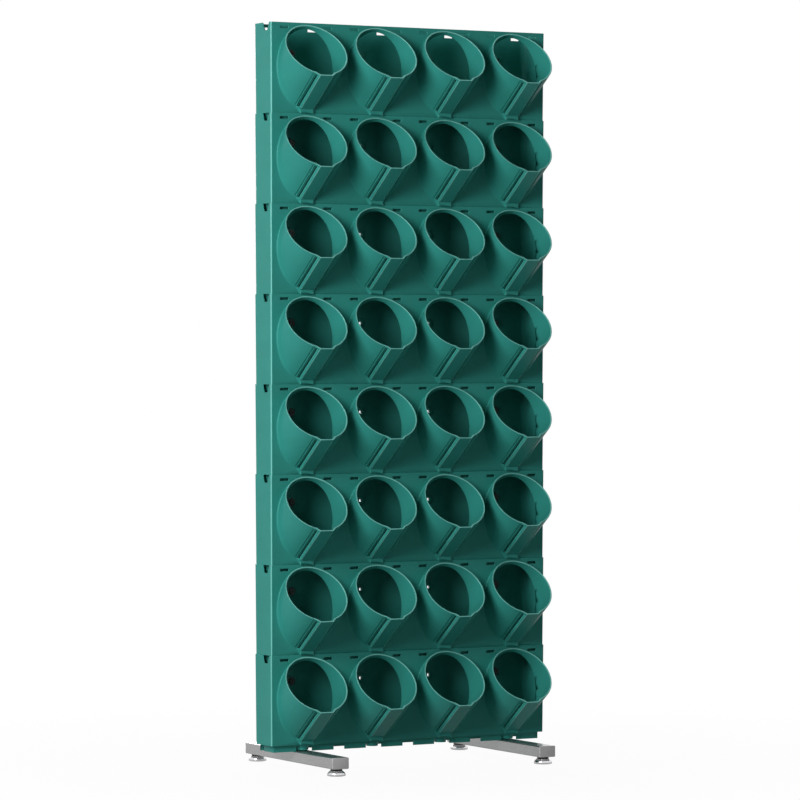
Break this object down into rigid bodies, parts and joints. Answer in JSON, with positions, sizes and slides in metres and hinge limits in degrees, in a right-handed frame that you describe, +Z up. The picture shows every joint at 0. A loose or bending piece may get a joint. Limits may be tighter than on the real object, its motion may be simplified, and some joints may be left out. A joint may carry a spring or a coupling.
{
  "type": "plant shelf",
  "caption": "Free-standing planting wall: stacked trough modules with tilted round pots along the front, bolted to uprights on foot bars with screw-adjustable levelling glides.",
  "frame": {"origin": "floor level, middle of the footprint of the foot bars", "axes": "+X to the right seen from the front, +Y to the back, +Z up; the pots face -Y"},
  "size_m": [0.7, 0.41, 1.64],
  "materials": {
    "green_plastic": "satin moulded polypropylene",
    "grey_steel": "satin grey powder coat on steel tube",
    "grey_plastic": "satin moulded plastic",
    "zinc_steel": "bright zinc plating",
    "dark_steel": "black oxide on steel fasteners",
    "bright_dish": "polished",
    "black_plastic": "matt",
    "sole_rubber": "matt"
  },
  "bodies": {
    "stand": {"planter_row_1": "green_plastic", "planter_row_2": "green_plastic", "planter_row_3": "green_plastic", "planter_row_4": "green_plastic", "planter_row_5": "green_plastic", "planter_row_6": "green_plastic", "planter_row_7": "green_plastic", "planter_row_8": "green_plastic", "left_foot_bar": "grey_steel", "left_foot_spigot": "grey_steel", "left_upright": "grey_steel", "left_upright_cap": "grey_plastic", "left_front_foot_cap": "grey_plastic", "left_rear_foot_cap": "grey_plastic", "right_foot_bar": "grey_steel", "right_foot_spigot": "grey_steel", "right_upright": "grey_steel", "right_upright_cap": "grey_plastic", "right_front_foot_cap": "grey_plastic", "right_rear_foot_cap": "grey_plastic", "lower_cross_rail": "grey_steel", "upper_cross_rail": "grey_steel", "rail_plugs": "zinc_steel", "rail_bolts": "zinc_steel", "spigot_bolts": "zinc_steel", "frame_washers": "zinc_steel", "spigot_nuts": "zinc_steel", "glide_inserts": "zinc_steel", "module_bolts": "dark_steel", "module_washers": "dark_steel", "module_nuts": "dark_steel"},
    "front_left_pad": {"front_left_glide_dish": "bright_dish", "front_left_glide_sole": "sole_rubber"},
    "front_left_screw": {"front_left_glide_stud": "zinc_steel", "front_left_glide_collar": "black_plastic"},
    "front_right_pad": {"front_right_glide_dish": "bright_dish", "front_right_glide_sole": "sole_rubber"},
    "front_right_screw": {"front_right_glide_stud": "zinc_steel", "front_right_glide_collar": "black_plastic"},
    "rear_left_pad": {"rear_left_glide_dish": "bright_dish", "rear_left_glide_sole": "sole_rubber"},
    "rear_left_screw": {"rear_left_glide_stud": "zinc_steel", "rear_left_glide_collar": "black_plastic"},
    "rear_right_pad": {"rear_right_glide_dish": "bright_dish", "rear_right_glide_sole": "sole_rubber"},
    "rear_right_screw": {"rear_right_glide_stud": "zinc_steel", "rear_right_glide_collar": "black_plastic"}
  },
  "joints": [
    {"name": "front_left_level", "type": "slide", "parent": "stand", "child": "front_left_pad", "axis": [0, 0, -1], "range_m": [0, 0.008]},
    {"name": "front_left_turn", "type": "hinge", "parent": "front_left_pad", "child": "front_left_screw", "pos_m": [-0.2625, -0.185, 0.0045], "axis": [0, 0, -1], "range_deg": [0, 1960]},
    {"name": "front_right_level", "type": "slide", "parent": "stand", "child": "front_right_pad", "axis": [0, 0, -1], "range_m": [0, 0.008]},
    {"name": "front_right_turn", "type": "hinge", "parent": "front_right_pad", "child": "front_right_screw", "pos_m": [0.2625, -0.185, 0.0045], "axis": [0, 0, -1], "range_deg": [0, 1960]},
    {"name": "rear_left_level", "type": "slide", "parent": "stand", "child": "rear_left_pad", "axis": [0, 0, -1], "range_m": [0, 0.008]},
    {"name": "rear_left_turn", "type": "hinge", "parent": "rear_left_pad", "child": "rear_left_screw", "pos_m": [-0.2625, 0.185, 0.0045], "axis": [0, 0, -1], "range_deg": [0, 1960]},
    {"name": "rear_right_level", "type": "slide", "parent": "stand", "child": "rear_right_pad", "axis": [0, 0, -1], "range_m": [0, 0.008]},
    {"name": "rear_right_turn", "type": "hinge", "parent": "rear_right_pad", "child": "rear_right_screw", "pos_m": [0.2625, 0.185, 0.0045], "axis": [0, 0, -1], "range_deg": [0, 1960]}
  ],
  "couplings": [
    {"joint": "front_left_turn", "follows": "front_left_level", "rad_per_m": 4188.8},
    {"joint": "front_right_turn", "follows": "front_right_level", "rad_per_m": 4188.8},
    {"joint": "rear_left_turn", "follows": "rear_left_level", "rad_per_m": 4188.8},
    {"joint": "rear_right_turn", "follows": "rear_right_level", "rad_per_m": 4188.8}
  ]
}
